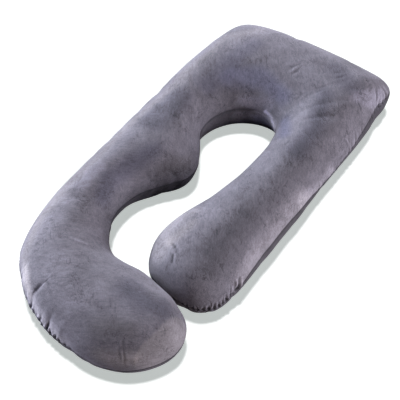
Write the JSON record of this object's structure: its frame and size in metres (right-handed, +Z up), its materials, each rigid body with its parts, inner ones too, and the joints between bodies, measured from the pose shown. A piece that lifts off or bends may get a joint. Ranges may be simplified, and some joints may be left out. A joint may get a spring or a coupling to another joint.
{
  "type": "body pillow",
  "caption": "Full-length filled body pillow with a broad square head, a straight arm and a hooked foot that curls round to meet it.",
  "frame": {"origin": "centre of the bounding box on the flat underside that the pillow lies on", "axes": "+Y along the pillow toward the broad head, +X across it toward the straight arm, +Z up out of the surface"},
  "size_m": [0.6902, 1.5002, 0.1994],
  "materials": {
    "plush": "short crushed-pile velvet, matt with a soft grazing sheen"
  },
  "bodies": {
    "root": {"pillow": "plush"}
  },
  "joints": []
}
